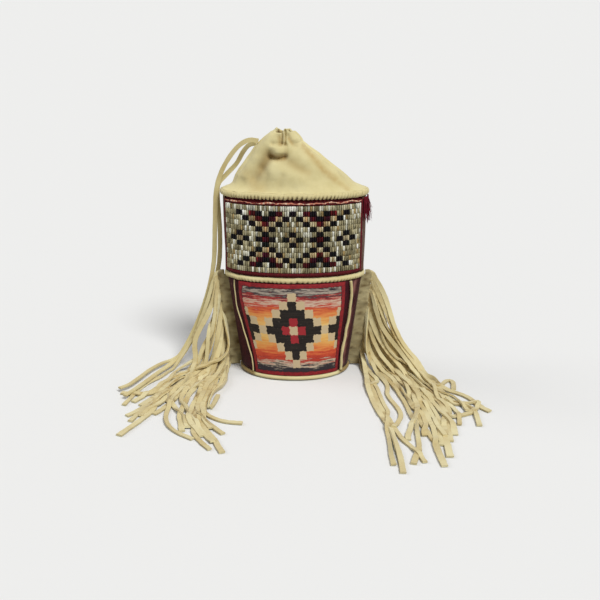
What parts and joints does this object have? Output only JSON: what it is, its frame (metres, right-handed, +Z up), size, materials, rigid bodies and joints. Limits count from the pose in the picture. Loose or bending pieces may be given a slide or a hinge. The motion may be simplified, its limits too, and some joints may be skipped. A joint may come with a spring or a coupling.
{
  "type": "beaded medicine bag",
  "caption": "Oval buckskin drawstring pouch with a gathered hood, a loomed bugle-bead band, a painted panel below it and long side fringes.",
  "frame": {"origin": "centre of the base's underside, on the surface it stands on", "axes": "+Z up through the hood, -Y towards the painted front, +X to the right seen from the front"},
  "size_m": [0.3225, 0.2502, 0.2197],
  "materials": {
    "buckskin": "soft napped buckskin, matte",
    "suede": "rough suede side, matte",
    "maroon_cloth": "plain woven cloth, matte",
    "brocade": "ribbon with pale flecks, slight sheen",
    "beads": "glossy bugle beads in four colours",
    "painted_leather": "painted, matte"
  },
  "bodies": {
    "root": {"base_panel": "buckskin", "base_welt": "buckskin", "pouch_body": "buckskin", "skirt_cloth": "brocade", "band_cloth": "maroon_cloth", "waist_welt": "buckskin", "rim_welt": "buckskin", "bead_panel_front": "beads", "bead_panel_back": "beads", "panel_binding_front": "maroon_cloth", "panel_binding_back": "maroon_cloth", "band_ribbon_left": "brocade", "band_ribbon_right": "brocade", "cloth_fray": "maroon_cloth", "picture_panel": "painted_leather", "picture_piping_left": "buckskin", "picture_piping_right": "buckskin", "fringe_left": "suede", "fringe_right": "suede", "drawstring_outer": "buckskin", "drawstring_inner": "buckskin"}
  },
  "joints": []
}
